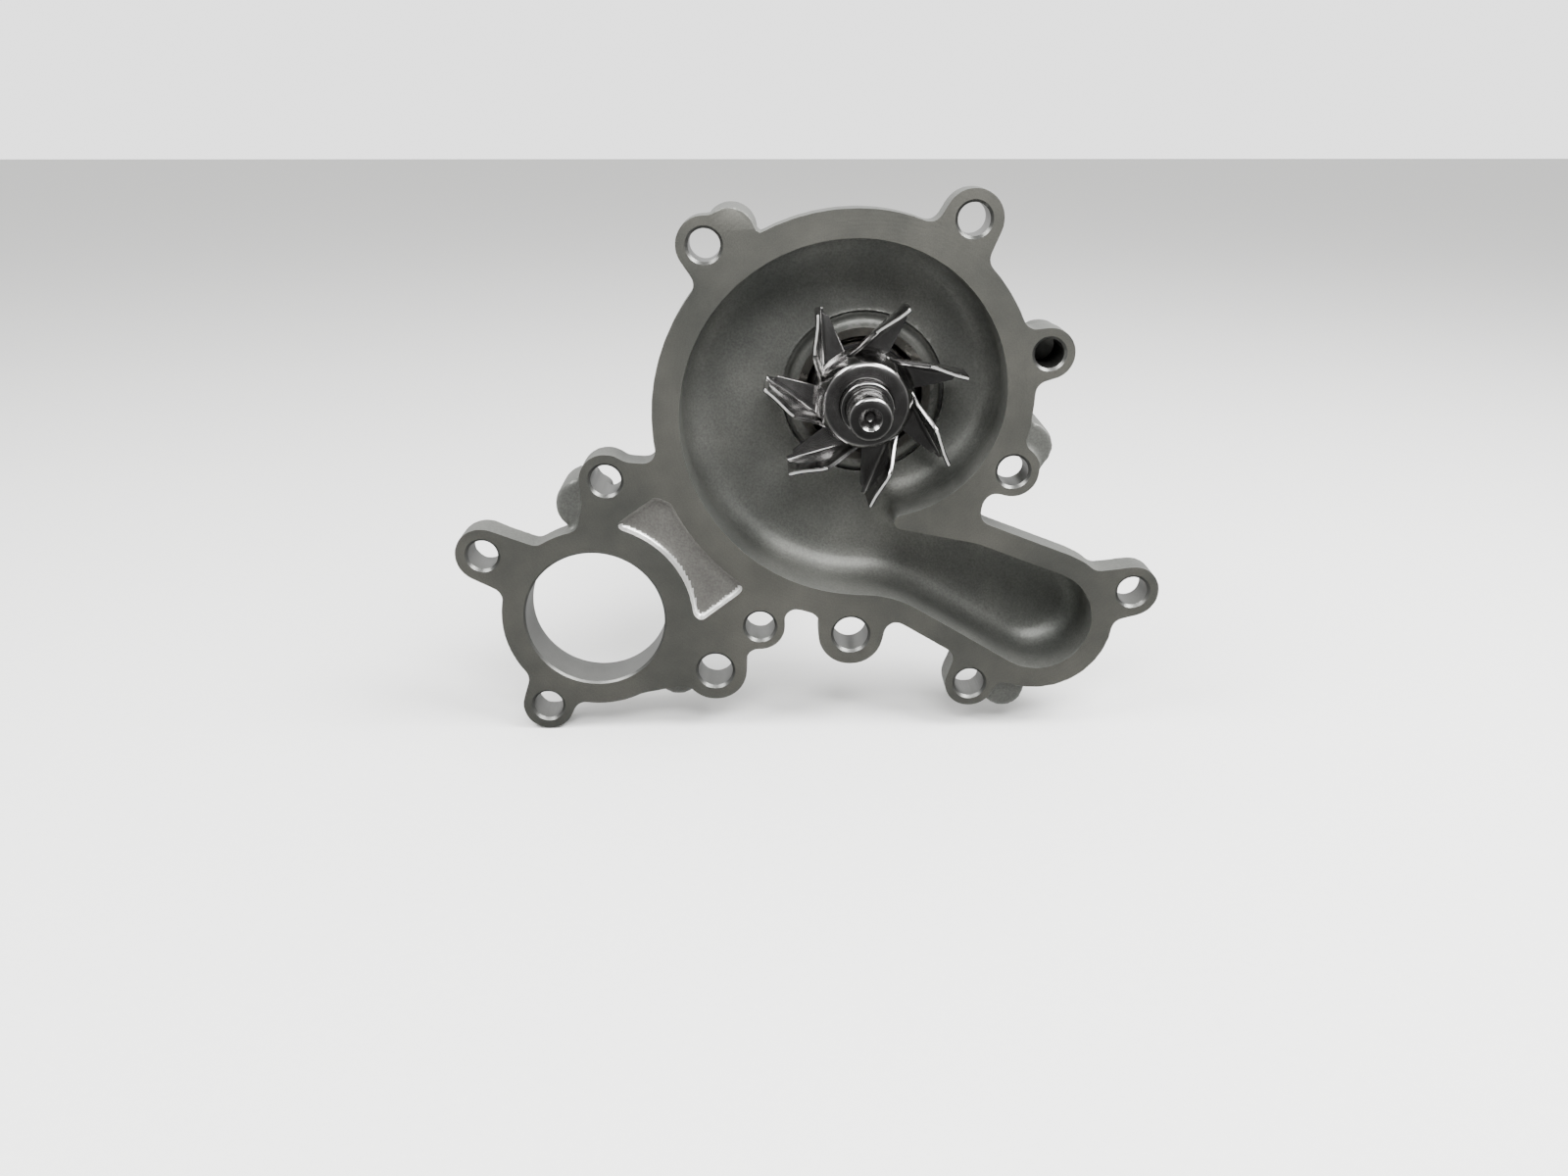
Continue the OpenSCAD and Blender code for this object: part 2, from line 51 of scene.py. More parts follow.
print("stage: frame loaded,", len(nodes), "pieces")

mm = 0.001
fineTurn = 128      # sides of a turned surface that shows
stockTurn = 96      # sides of one that is cut away later
holeTurn = 64       # sides of a bolt hole
plugTurn = 48       # sides of the metal that fills one before drilling


# mesh helpers, every size in mm
def newObject(name, mesh):
    piece = bpy.data.objects.new(name, mesh)
    bpy.context.scene.collection.objects.link(piece)
    return piece


def meshFrom(bm, name):
    mesh = bpy.data.meshes.new(name)
    bm.to_mesh(mesh)
    bm.free()
    return mesh


def turnedMesh(name, profile, segments, centre=(0.0, 0.0)):
    # profile is [(radius, distance along the shaft)]
    # it closes on itself unless both ends are on the axis
    bm = bmesh.new()
    onAxis = profile[0][0] == 0 and profile[-1][0] == 0
    rings = []
    for radius, along in profile:
        if radius == 0:
            rings.append([bm.verts.new((centre[0] * mm, along * mm, centre[1] * mm))])
            continue
        ring = []
        for i in range(segments):
            turn = 2 * math.pi * i / segments
            ring.append(bm.verts.new(((centre[0] + radius * math.cos(turn)) * mm, along * mm,
                                      (centre[1] + radius * math.sin(turn)) * mm)))
        rings.append(ring)
    pairs = list(zip(rings, rings[1:])) + ([] if onAxis else [(rings[-1], rings[0])])
    for a, b in pairs:
        for i in range(segments):
            j = (i + 1) % segments
            if len(a) == 1:
                bm.faces.new((a[0], b[j], b[i]))
            elif len(b) == 1:
                bm.faces.new((a[i], a[j], b[0]))
            else:
                bm.faces.new((a[i], a[j], b[j], b[i]))
    bmesh.ops.recalc_face_normals(bm, faces=bm.faces)
    return meshFrom(bm, name)


def roundCorner(before, corner, after, size, steps=4):
    # replaces one corner of a profile by a short arc
    a, c, b = Vector(before), Vector(corner), Vector(after)
    toA = (a - c).normalized()
    toB = (b - c).normalized()
    half = toA.angle(toB) / 2
    reach = min(size / math.tan(half), (a - c).length * 0.49, (b - c).length * 0.49)
    radius = reach * math.tan(half)
    middle = c + (toA + toB).normalized() * math.hypot(reach, radius)
    start, end = c + toA * reach - middle, c + toB * reach - middle
    sweep = start.angle(end)
    points = []
    for i in range(steps + 1):
        f = i / steps
        p = (start * math.sin((1 - f) * sweep) + end * math.sin(f * sweep)) / math.sin(sweep)
        points.append(tuple(middle + p))
    return points


def rounded(profile, sizes, closed=True):
    # rounds the corners of a profile, sizes is {corner number: radius}
    out = []
    count = len(profile)
    for i, point in enumerate(profile):
        if sizes.get(i) and (closed or 0 < i < count - 1):
            out += roundCorner(profile[i - 1], point, profile[(i + 1) % count], sizes[i])
        else:
            out.append(point)
    return out


def applyModifiers(piece):
    bpy.context.view_layer.update()
    graph = bpy.context.evaluated_depsgraph_get()
    mesh = bpy.data.meshes.new_from_object(piece.evaluated_get(graph))
    old = piece.data
    piece.modifiers.clear()
    piece.data = mesh
    bpy.data.meshes.remove(old)


def combine(piece, other, operation):
    change = piece.modifiers.new("combine", "BOOLEAN")
    change.operation = operation
    change.solver = "MANIFOLD"
    change.object = other
    applyModifiers(piece)
    bpy.data.objects.remove(other)


def mergedObject(name, meshes):
    bm = bmesh.new()
    for mesh in meshes:
        bm.from_mesh(mesh)
        bpy.data.meshes.remove(mesh)
    return newObject(name, meshFrom(bm, name))


def block(name, low, high):
    # plain cutting block between two corners
    bm = bmesh.new()
    bmesh.ops.create_cube(bm, size=1.0)
    for v in bm.verts:
        v.co = [(low[i] if v.co[i] < 0 else high[i]) * mm for i in range(3)]
    return newObject(name, meshFrom(bm, name))


def smoothExceptEdges(piece, degrees):
    bm = bmesh.new()
    bm.from_mesh(piece.data)
    for face in bm.faces:
        face.smooth = True
    for edge in bm.edges:
        edge.smooth = len(edge.link_faces) == 2 and edge.calc_face_angle(math.pi) < math.radians(degrees)
    bm.to_mesh(piece.data)
    bm.free()


# finishes
surfaceShape = {
    "patchDetail": (5.0, 0.6),      # detail and roughness of the broad tone
    "grainDetail": (3.0, 0.55),     # and of the fine grain
    "toneStops": (0.32, 0.68),      # where the dark tone ends and where the light one starts
    "noiseSpan": (0.3, 0.7),        # the part of a noise that is put to use
    "wornSpan": (0.51, 0.58),       # how far a corner stands out before it wears bright
    "lineDetail": (1.0, 2.0),       # unevenness of the cutter lines
}


def metalFinish(name, look):
    # one builder for every finish: broad tone, fine grain, lathe or mill lines, worn edges
    material = bpy.data.materials.new(name)
    material.use_nodes = True
    tree = material.node_tree
    shader = tree.nodes["Principled BSDF"]
    shader.inputs["Metallic"].default_value = look["metal"]
    shader.inputs["Specular IOR Level"].default_value = look.get("gloss", 0.5)
    place = tree.nodes.new("ShaderNodeTexCoord").outputs["Object"]

    def node(kind, settings=None, **links):
        n = tree.nodes.new(kind)
        for key, value in (settings or {}).items():
            if hasattr(n, key):
                setattr(n, key, value)
            else:
                n.inputs[key].default_value = value
        for key, source in links.items():
            tree.links.new(source, n.inputs[key.replace("_", " ")])
        return n

    def noise(scale, detail):
        settings = {"Scale": scale, "Detail": detail[0], "Roughness": detail[1]}
        return node("ShaderNodeTexNoise", settings, Vector=place).outputs["Fac"]

    def spread(source, span, low, high):
        # stretches a span of the source over the values low to high
        settings = {"From Min": span[0], "From Max": span[1], "To Min": low, "To Max": high}
        return node("ShaderNodeMapRange", settings, Value=source).outputs["Result"]

    def addShare(source, share, onTo):
        # adds a share of one value to another
        both = node("ShaderNodeMath", {"operation": "MULTIPLY_ADD"})
        tree.links.new(source, both.inputs[0])
        both.inputs[1].default_value = share
        tree.links.new(onTo, both.inputs[2])
        return both.outputs["Value"]

    patches = noise(look["patchScale"], surfaceShape["patchDetail"])
    grain = noise(look["grainScale"], surfaceShape["grainDetail"])
    tone = node("ShaderNodeValToRGB", Fac=patches)
    stops = zip(tone.color_ramp.elements, surfaceShape["toneStops"], (look["dark"], look["light"]))
    for stop, position, stopTone in stops:
        stop.position = position
        stop.color = stopTone + (1.0,)
    speck = spread(grain, surfaceShape["noiseSpan"], 1.0 - look["speckle"], 1.0 + look["speckle"])
    spotted = node("ShaderNodeVectorMath", {"operation": "SCALE"}, Scale=speck)
    tree.links.new(tone.outputs["Color"], spotted.inputs[0])
    colour = spotted.outputs["Vector"]
    if look.get("wear"):
        edge = node("ShaderNodeNewGeometry").outputs["Pointiness"]
        mix = node("ShaderNodeMix", {"data_type": "RGBA"})
        tree.links.new(spread(edge, surfaceShape["wornSpan"], 0.0, look["wear"]), mix.inputs["Factor"])
        tree.links.new(colour, mix.inputs[6])                   # tone of the metal
        mix.inputs[7].default_value = look["wornTone"] + (1.0,)   # tone where it is rubbed bright
        colour = mix.outputs[2]
    tree.links.new(colour, shader.inputs["Base Color"])
    rough = spread(patches, surfaceShape["noiseSpan"], look["rough"][0], look["rough"][1])
    height = grain
    if look.get("lines"):
        # rings round an axis that runs along Y, as a lathe or a facing cutter leaves them
        detail, detailScale = surfaceShape["lineDetail"]
        settings = {"wave_type": "RINGS", "rings_direction": "Y", "Scale": look["lines"],
                    "Distortion": look.get("lineWander", 0.4), "Detail": detail, "Detail Scale": detailScale}
        rings = node("ShaderNodeTexWave", settings, Vector=place).outputs["Fac"]
        height = addShare(rings, look.get("lineShare", 0.5), grain)
        rough = addShare(rings, look.get("lineRough", 0.05), rough)
    tree.links.new(rough, shader.inputs["Roughness"])
    settings = {"Strength": look["bump"], "Distance": look["bumpDepth"] * mm}
    tree.links.new(node("ShaderNodeBump", settings, Height=height).outputs["Normal"], shader.inputs["Normal"])
    material.diffuse_color = look["light"] + (1.0,)
    return material


castSkin = metalFinish("castSkin", {
    "metal": 0.75, "dark": (0.115, 0.12, 0.112), "light": (0.178, 0.18, 0.166), "patchScale": 28.0,
    "grainScale": 1500.0, "speckle": 0.16, "rough": (0.46, 0.56), "bump": 0.35, "bumpDepth": 0.16,
    "wear": 0.35, "wornTone": (0.42, 0.42, 0.40)})
machinedFace = metalFinish("machinedFace", {
    "metal": 0.8, "dark": (0.104, 0.107, 0.098), "light": (0.172, 0.169, 0.15), "patchScale": 22.0,
    "grainScale": 2600.0, "speckle": 0.09, "rough": (0.40, 0.50), "bump": 0.18, "bumpDepth": 0.05,
    "lines": 260.0, "lineShare": 0.35, "lineWander": 1.2})
boredMetal = metalFinish("boredMetal", {
    "metal": 0.9, "dark": (0.105, 0.107, 0.102), "light": (0.155, 0.156, 0.148), "patchScale": 60.0,
    "grainScale": 2600.0, "speckle": 0.08, "rough": (0.28, 0.38), "bump": 0.2, "bumpDepth": 0.05})
pocketFloor = metalFinish("pocketFloor", {
    "metal": 0.6, "dark": (0.13, 0.127, 0.118), "light": (0.19, 0.185, 0.172), "patchScale": 60.0,
    "grainScale": 1500.0, "speckle": 0.16, "rough": (0.42, 0.52), "bump": 0.45, "bumpDepth": 0.16})
impellerSteel = metalFinish("impellerSteel", {
    "metal": 1.0, "dark": (0.27, 0.265, 0.262), "light": (0.42, 0.415, 0.41), "patchScale": 90.0,
    "grainScale": 900.0, "speckle": 0.05, "rough": (0.16, 0.24), "bump": 0.05, "bumpDepth": 0.04})
# a very light base colour that stands in for light: the painted highlight on up-facing pocket walls and on
# the blades' front edges
highlightPaint = metalFinish("highlightPaint", {
    "metal": 0.7, "dark": (0.66, 0.66, 0.64), "light": (0.82, 0.82, 0.8), "patchScale": 80.0,
    "grainScale": 1500.0, "speckle": 0.06, "rough": (0.3, 0.38), "bump": 0.15, "bumpDepth": 0.06})
turnedSteel = metalFinish("turnedSteel", {
    "metal": 1.0, "dark": (0.24, 0.238, 0.234), "light": (0.35, 0.347, 0.344), "patchScale": 120.0,
    "grainScale": 1800.0, "speckle": 0.04, "rough": (0.12, 0.2), "bump": 0.05, "bumpDepth": 0.04,
    "lines": 900.0, "lineShare": 0.4, "lineRough": 0.05})
groundSteel = metalFinish("groundSteel", {
    "metal": 1.0, "dark": (0.5, 0.5, 0.5), "light": (0.62, 0.62, 0.61), "patchScale": 90.0,
    "grainScale": 2400.0, "speckle": 0.05, "rough": (0.2, 0.28), "bump": 0.08, "bumpDepth": 0.04})
platedHub = metalFinish("platedHub", {
    "metal": 0.95, "dark": (0.33, 0.33, 0.32), "light": (0.45, 0.45, 0.43), "patchScale": 45.0,
    "grainScale": 1500.0, "speckle": 0.08, "rough": (0.3, 0.4), "bump": 0.12, "bumpDepth": 0.06,
    "lines": 420.0, "lineShare": 0.5, "lineRough": 0.06, "wear": 0.4, "wornTone": (0.6, 0.6, 0.58)})
ballSteel = metalFinish("ballSteel", {
    "metal": 1.0, "dark": (0.62, 0.62, 0.62), "light": (0.7, 0.7, 0.7), "patchScale": 200.0,
    "grainScale": 1500.0, "speckle": 0.03, "rough": (0.06, 0.1), "bump": 0.02, "bumpDepth": 0.02})
sealSteel = metalFinish("sealSteel", {
    "metal": 0.95, "dark": (0.16, 0.155, 0.14), "light": (0.25, 0.24, 0.22), "patchScale": 110.0,
    "grainScale": 1600.0, "speckle": 0.08, "rough": (0.26, 0.36), "bump": 0.1, "bumpDepth": 0.05})
blackRubber = metalFinish("blackRubber", {
    "metal": 0.0, "gloss": 0.35, "dark": (0.012, 0.012, 0.013), "light": (0.024, 0.024, 0.025),
    "patchScale": 90.0, "grainScale": 1400.0, "speckle": 0.15, "rough": (0.5, 0.64),
    "bump": 0.25, "bumpDepth": 0.08})
cagePlastic = metalFinish("cagePlastic", {
    "metal": 0.0, "gloss": 0.45, "dark": (0.03, 0.032, 0.035), "light": (0.05, 0.052, 0.055),
    "patchScale": 80.0, "grainScale": 1900.0, "speckle": 0.1, "rough": (0.42, 0.52),
    "bump": 0.2, "bumpDepth": 0.05})
carbonFace = metalFinish("carbonFace", {
    "metal": 0.2, "dark": (0.02, 0.02, 0.021), "light": (0.035, 0.035, 0.036), "patchScale": 160.0,
    "grainScale": 2600.0, "speckle": 0.12, "rough": (0.3, 0.4), "bump": 0.08, "bumpDepth": 0.03})
ceramicFace = metalFinish("ceramicFace", {
    "metal": 0.0, "gloss": 0.6, "dark": (0.66, 0.62, 0.54), "light": (0.76, 0.73, 0.66), "patchScale": 160.0,
    "grainScale": 2600.0, "speckle": 0.05, "rough": (0.16, 0.24), "bump": 0.05, "bumpDepth": 0.02})


def finish(piece, material, name, body):
    # puts a new piece in place of its frame node; None keeps the finishes it already has
    if material:
        piece.data.materials.clear()
        piece.data.materials.append(material)
    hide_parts(name)
    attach(piece, body)


def repaint(name, material):
    for index in range(len(nodes[name].material_slots)):
        nodes[name].material_slots[index].material = material


print("stage: finishes made")


# housing
housingShape = {
    "voxel": 0.8,           # detail kept in the casting
    "castRounding": 6,      # smoothing passes that soften the cast edges
    "softening": 0.5,       # strength of each pass
    "sharpEdge": 38,        # degrees; a steeper edge stays crisp
    "smallHole": 4.5,       # radius
    "largeHole": 5.3,
    "blindHole": 4.2,
    "blindEnd": 15.0,       # where the straight side of the blind hole ends
    "chamfer": 0.8,
    "portBore": 21.2,
    "portChamfer": 0.6,
    "portBack": 15.0,
    "portMill": 32.0,       # radius of the flat milled round the back of the port
    "noseEnd": 74.0,
    "sealBore": 18.4,
    "sealEase": 0.5,        # lead-in at the mouth of the seal bore
    "sealEnd": 30.0,
    "bearingBore": 15.0,
    "bearingStart": 36.0,
    "bearingChamfer": 0.8,
    "chamberBore": 13.0,
    "portCentre": (-81.7, -65.5),
    "blindCentre": (51.431, 15.377),
    "smallHoles": [(-45.947, 45.33), (28.089, 52.143), (43.323, -19.123), (82.2, -57.1), (34, -87.5),
                   (-31.262, -68.088), (-97.8, -94.7), (-114.3, -44.8), (-76.3, -21.6)],
    "largeHoles": [(-3.427, -70.808), (-45.2, -82.9)],
    # metal left on the blank for the cutters, and how far the cutters run
    "blank": {
        "stock": 1.2,           # on the gasket face and round each hole
        "front": -1.1,          # front of the metal that fills the holes
        "faceSlab": (-5, 2),    # slice of the face that is moved forward
        "smallBack": 9.6,       # back of the metal in the small holes
        "largeBack": 11.6,
        "blindBack": 19.5,
        "noseRadius": 21.0,
        "noseStart": 20.0,
        "reach": 200,           # half the size of a cutting block
        "faceCut": 20,
        "drillFrom": -1,
        "drillTo": 40,
        "drillPoint": 0.55,     # length of a drill's point, as a share of its radius
        "breakOut": 1,          # how far a cutter runs past the back chamfer
        "boreFrom": 10,
        "clearRadius": 40,      # radius that the nose facing clears
        "past": 3,              # how far a facing cut runs past its plane
    },
    # raised ring round the seal
    "boss": {
        "inner": 17.5,
        "top": 18.0,
        "radius": 23.5,
        "topInset": 0.9,        # the wall leans in by this and the next
        "footOutset": 0.1,
        "foot": 22.03,
        "skirt": 3.4,           # width of the foot outside the ring
        "back": 24,
        "rounding": 2.2,
        "cutExtra": 1.1,
        "cutFrom": 15,
        "cutTo": 22.05,
    },
    # where each finish and the painted highlight go on the casting
    "paint": {
        "faceDepth": 0.02,      # the machined face is no deeper than this
        "near": 0.05,           # how close to its plane another cut surface lies
        "level": 0.99,          # how squarely a cut surface looks along the shaft
        "holeEase": 0.03,
        "sealReach": 0.6,
        "sealFrom": 17.5,
        "pocket": (-78, -34, -68, -24),     # left, right, bottom and top of the cast pocket
        "pocketDepth": 7,
        "voluteCentre": (0.1, -3.5),
        "voluteReach": 58,      # the pocket lies outside this radius
        "wallTilt": 0.1,
        "floorTilt": -0.93,
    },
}


def rod(radius, start, end, centre, segments=plugTurn):
    return turnedMesh("rod", [(0, start), (radius, start), (radius, end), (0, end)], segments, centre)


def drill(radius, end, centre, chamfer, segments=holeTurn, backChamfer=0):
    blank = housingShape["blank"]
    start = blank["drillFrom"]
    profile = [(0, start), (radius + chamfer - start, start), (radius, chamfer)]
    if backChamfer:
        past = blank["breakOut"]
        profile += [(radius, end - backChamfer), (radius + backChamfer + past, end + past), (0, end + past)]
    else:
        profile += [(radius, end), (0, end + radius * blank["drillPoint"])]
    return turnedMesh("drill", profile, segments, centre)


def castBlank():
    shape, blank = housingShape, housingShape["blank"]
    stock, front, reach = blank["stock"], blank["front"], blank["reach"]
    source = nodes["housing"].data
    # a slab of the face moved forward leaves stock for the face cut
    slab = newObject("slab", source.copy())
    low, high = blank["faceSlab"]
    combine(slab, block("slabLimits", (-reach, low, -reach), (reach, high, reach)), "INTERSECT")
    slab.data.transform(Matrix.Translation((0, -stock * mm, 0)))
    parts = [source.copy(), slab.data.copy()]
    bpy.data.objects.remove(slab)
    # stock in every hole, so each one can be drilled after casting
    for centre in shape["smallHoles"]:
        parts.append(rod(shape["smallHole"] + stock, front, blank["smallBack"], centre))
    for centre in shape["largeHoles"]:
        parts.append(rod(shape["largeHole"] + stock, front, blank["largeBack"], centre))
    parts.append(rod(shape["blindHole"] + stock, front, blank["blindBack"], shape["blindCentre"]))
    parts.append(rod(shape["portBore"] + stock, front, shape["portBack"] + stock,
                     shape["portCentre"], stockTurn))
    parts.append(rod(blank["noseRadius"], blank["noseStart"], shape["noseEnd"] + stock,
                     (0, 0), stockTurn))
    return mergedObject("housingCasting", parts)


def paintHousing(casting):
    # each face's finish comes from where it lies and which way it looks; pocket walls that face up get a
    # painted highlight
    shape, paint = housingShape, housingShape["paint"]
    casting.data.materials.clear()
    for material in (castSkin, machinedFace, boredMetal, pocketFloor, highlightPaint):
        casting.data.materials.append(material)
    skin, machined, bored, floor, edge = range(5)      # their order on the casting
    holes = [(c, shape["smallHole"]) for c in shape["smallHoles"]]
    holes += [(c, shape["largeHole"]) for c in shape["largeHoles"]]
    holes += [(shape["blindCentre"], shape["blindHole"]), (shape["portCentre"], shape["portBore"])]
    left, right, bottom, top = paint["pocket"]
    voluteX, voluteZ = paint["voluteCentre"]
    for face in casting.data.polygons:
        x, y, z = [v / mm for v in face.center]
        normal = face.normal
        face.material_index = skin
        if y < paint["faceDepth"] and normal.y < -paint["level"]:
            face.material_index = machined
            continue
        onPortBack = abs(y - shape["portBack"]) < paint["near"] and normal.y > paint["level"]
        if y > shape["noseEnd"] - paint["near"] or onPortBack:
            face.material_index = bored
            continue
        for centre, radius in holes:
            if math.hypot(x - centre[0], z - centre[1]) < radius + shape["chamfer"] - paint["holeEase"]:
                face.material_index = bored
                break
        if math.hypot(x, z) < shape["sealBore"] + paint["sealReach"] and y > paint["sealFrom"]:
            face.material_index = bored
        inPocket = left < x < right and bottom < z < top and y < paint["pocketDepth"]
        inPocket = inPocket and math.hypot(x - voluteX, z - voluteZ) > paint["voluteReach"]
        # pocket walls that face up take a very light base colour, a painted highlight where the light from
        # above falls; floors and walls that face down keep the floor tone
        if inPocket and face.material_index == skin and normal.y < paint["wallTilt"]:
            face.material_index = floor if normal.y < paint["floorTilt"] or normal.z < 0 else edge


def raiseBoss(casting):
    # ring with a rounded rim and a soft foot
    boss = housingShape["boss"]
    cutter = rod(boss["radius"] + boss["cutExtra"], boss["cutFrom"], boss["cutTo"], (0, 0), fineTurn)
    combine(casting, newObject("bossCut", cutter), "DIFFERENCE")
    skirt = boss["radius"] + boss["skirt"]
    profile = [(boss["inner"], boss["back"]), (boss["inner"], boss["top"]),
               (boss["radius"] - boss["topInset"], boss["top"]),
               (boss["radius"] + boss["footOutset"], boss["foot"]),
               (skirt, boss["foot"]), (skirt, boss["back"])]
    profile = rounded(profile, {2: boss["rounding"], 3: boss["rounding"]})
    combine(casting, newObject("bossRing", turnedMesh("bossRing", profile, fineTurn)), "UNION")


def drillHoles(casting):
    shape, through = housingShape, housingShape["blank"]["drillTo"]
    tools = [drill(shape["smallHole"], through, centre, shape["chamfer"]) for centre in shape["smallHoles"]]
    tools += [drill(shape["largeHole"], through, centre, shape["chamfer"]) for centre in shape["largeHoles"]]
    tools.append(drill(shape["blindHole"], shape["blindEnd"], shape["blindCentre"], shape["chamfer"]))
    tools.append(drill(shape["portBore"], shape["portBack"], shape["portCentre"], shape["portChamfer"],
                       fineTurn, shape["portChamfer"]))
    combine(casting, mergedObject("drills", tools), "DIFFERENCE")


def boreNose(casting):
    # seal seat, drain chamber and bearing seat in one cutter, with the nose faced off behind them
    shape, blank = housingShape, housingShape["blank"]
    start, clear, past, end = blank["boreFrom"], blank["clearRadius"], blank["past"], shape["noseEnd"]
    seal, ease, top = shape["sealBore"], shape["sealEase"], shape["boss"]["top"]
    chamber, bearing, chamfer = shape["chamberBore"], shape["bearingBore"], shape["bearingChamfer"]
    profile = [(0, start), (seal + ease, start), (seal + ease, top), (seal, top + ease),
               (seal, shape["sealEnd"]), (chamber, shape["sealEnd"]), (chamber, shape["bearingStart"]),
               (bearing, shape["bearingStart"]), (bearing, end - chamfer), (bearing + chamfer, end),
               (clear, end), (clear, end + past), (0, end + past)]
    combine(casting, newObject("bores", turnedMesh("bores", profile, fineTurn)), "DIFFERENCE")
    back, mill = shape["portBack"], shape["portMill"]
    milled = turnedMesh("portMill", [(0, back), (mill, back), (mill, back + past), (0, back + past)],
                        holeTurn, shape["portCentre"])
    combine(casting, newObject("portMill", milled), "DIFFERENCE")


def buildHousing():
    shape, blank = housingShape, housingShape["blank"]
    casting = castBlank()
    remesh = casting.modifiers.new("remesh", "REMESH")
    remesh.mode = "VOXEL"
    remesh.voxel_size = shape["voxel"] * mm
    soften = casting.modifiers.new("soften", "SMOOTH")
    soften.factor = shape["softening"]
    soften.iterations = shape["castRounding"]
    applyModifiers(casting)
    print("stage: casting blank has", len(casting.data.polygons), "faces")
    # face cut, then the boss, every drilling and every bore
    reach = blank["reach"]
    faceCut = block("faceCut", (-reach, -blank["faceCut"], -reach), (reach, 0, reach))
    combine(casting, faceCut, "DIFFERENCE")
    raiseBoss(casting)
    drillHoles(casting)
    boreNose(casting)
    smoothExceptEdges(casting, shape["sharpEdge"])
    paintHousing(casting)
    print("stage: housing machined,", len(casting.data.polygons), "faces")
    return casting


housing = buildHousing()
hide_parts("housing")
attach(housing, "housing_body")


# impeller: star plate, seven bent blades and a drawn hub
impellerShape = {
    "blades": 7,
    "firstTip": 68.3,       # degrees from level, seen from the engine side
    "radius": 30.45,
    "footRadius": 13.5,     # the blades stand on lines that touch this circle
    "plateBack": 14.45,
    "plateFront": 13.0,
    "plateRadius": 15.0,
    "plateEase": 0.02,      # the plate is this much thicker on each side, so no face lies on a blade's
    "plateBevel": 0.25,
    "armEnd": (4.0, 5.5),   # how far inside the tip the arm ends, and how many degrees behind it
    "armTip": 1.6,
    "armTipWidth": 0.95,    # share of the bend that the arm covers at the tip
    "armRoot": 8.0,
    "archStart": 3,         # degrees from the arm's root to the plate's round edge
    "archSkip": 9,          # degrees of that edge left to the arms
    "archSteps": 3,
    "sheet": 1.35,
    "bend": 2.3,            # outside radius of the bend between plate and blade
    "bendSteps": (6, 4),    # flats that make up the bend, outside and inside
    "flange": 3.4,          # how far the blade's foot reaches over the plate
    "flangeGrow": 0.35,     # how fast it gets there from the tip
    "crown": 0.35,          # distance from the gasket face to the blade's front edge
    "fullLength": 11.5,     # length of blade at full height, from the tip
    "slopeEnd": 22.5,       # where the slope down to the hub ends, from the tip
    "slopeHeight": 4.6,     # height left there above the back of the plate
    "runOut": (0.25, 6),    # share of that height lost after the slope, over this length
    "ease": (0.35, 1.6),    # depth and reach of the rounding where the slope starts
    "kink": -1.5,           # sideways bow of the blade, away from the plate
    "kinkReach": 6.0,
    "edgeAcross": (0.12, 0.36),     # rounding of the front edge, across the sheet
    "edgeDown": (0.1, 0.35),        # and down from it
    "tipThin": (0.1, 0.28),         # rounding of the tip's last two sections
    "nearFoot": (3.2, 4.5),         # sections counted from the hub
    "onSlope": (19, 16, 14, 12.6),                 # from the tip, down the slope
    "nearTip": (10, 7, 4, 1.5, 0.5, 0.15, 0),      # and at full height
    "sharpEdge": 34,        # degrees; a steeper edge stays crisp
    # the front edges picked by the next two settings get a painted highlight, a much lighter base colour
    "highlightDepth": 0.75,    # the sheared front edges lie in front of this
    "highlightTilt": -0.96,
    # hub drawn out of the plate
    "hub": {
        "profile": [(7.9, 2.4), (12.35, 2.4), (13.85, 6.6), (14.05, 11.5), (15.15, 12.95), (15.15, 14.35),
                    (12.45, 14.35), (11.5, 12.0), (11.5, 5.75), (10.5, 3.75), (7.9, 3.75)],
        "rounding": {0: 0.3, 1: 2.2, 2: 1.2, 3: 0.9},
        "plateCut": 12.55,      # radius of the plate cleared inside it
        "cutTo": 30,
    },
}


def onFace(radius, degrees):
    turn = math.radians(degrees)
    return Vector((radius * math.cos(turn), radius * math.sin(turn)))


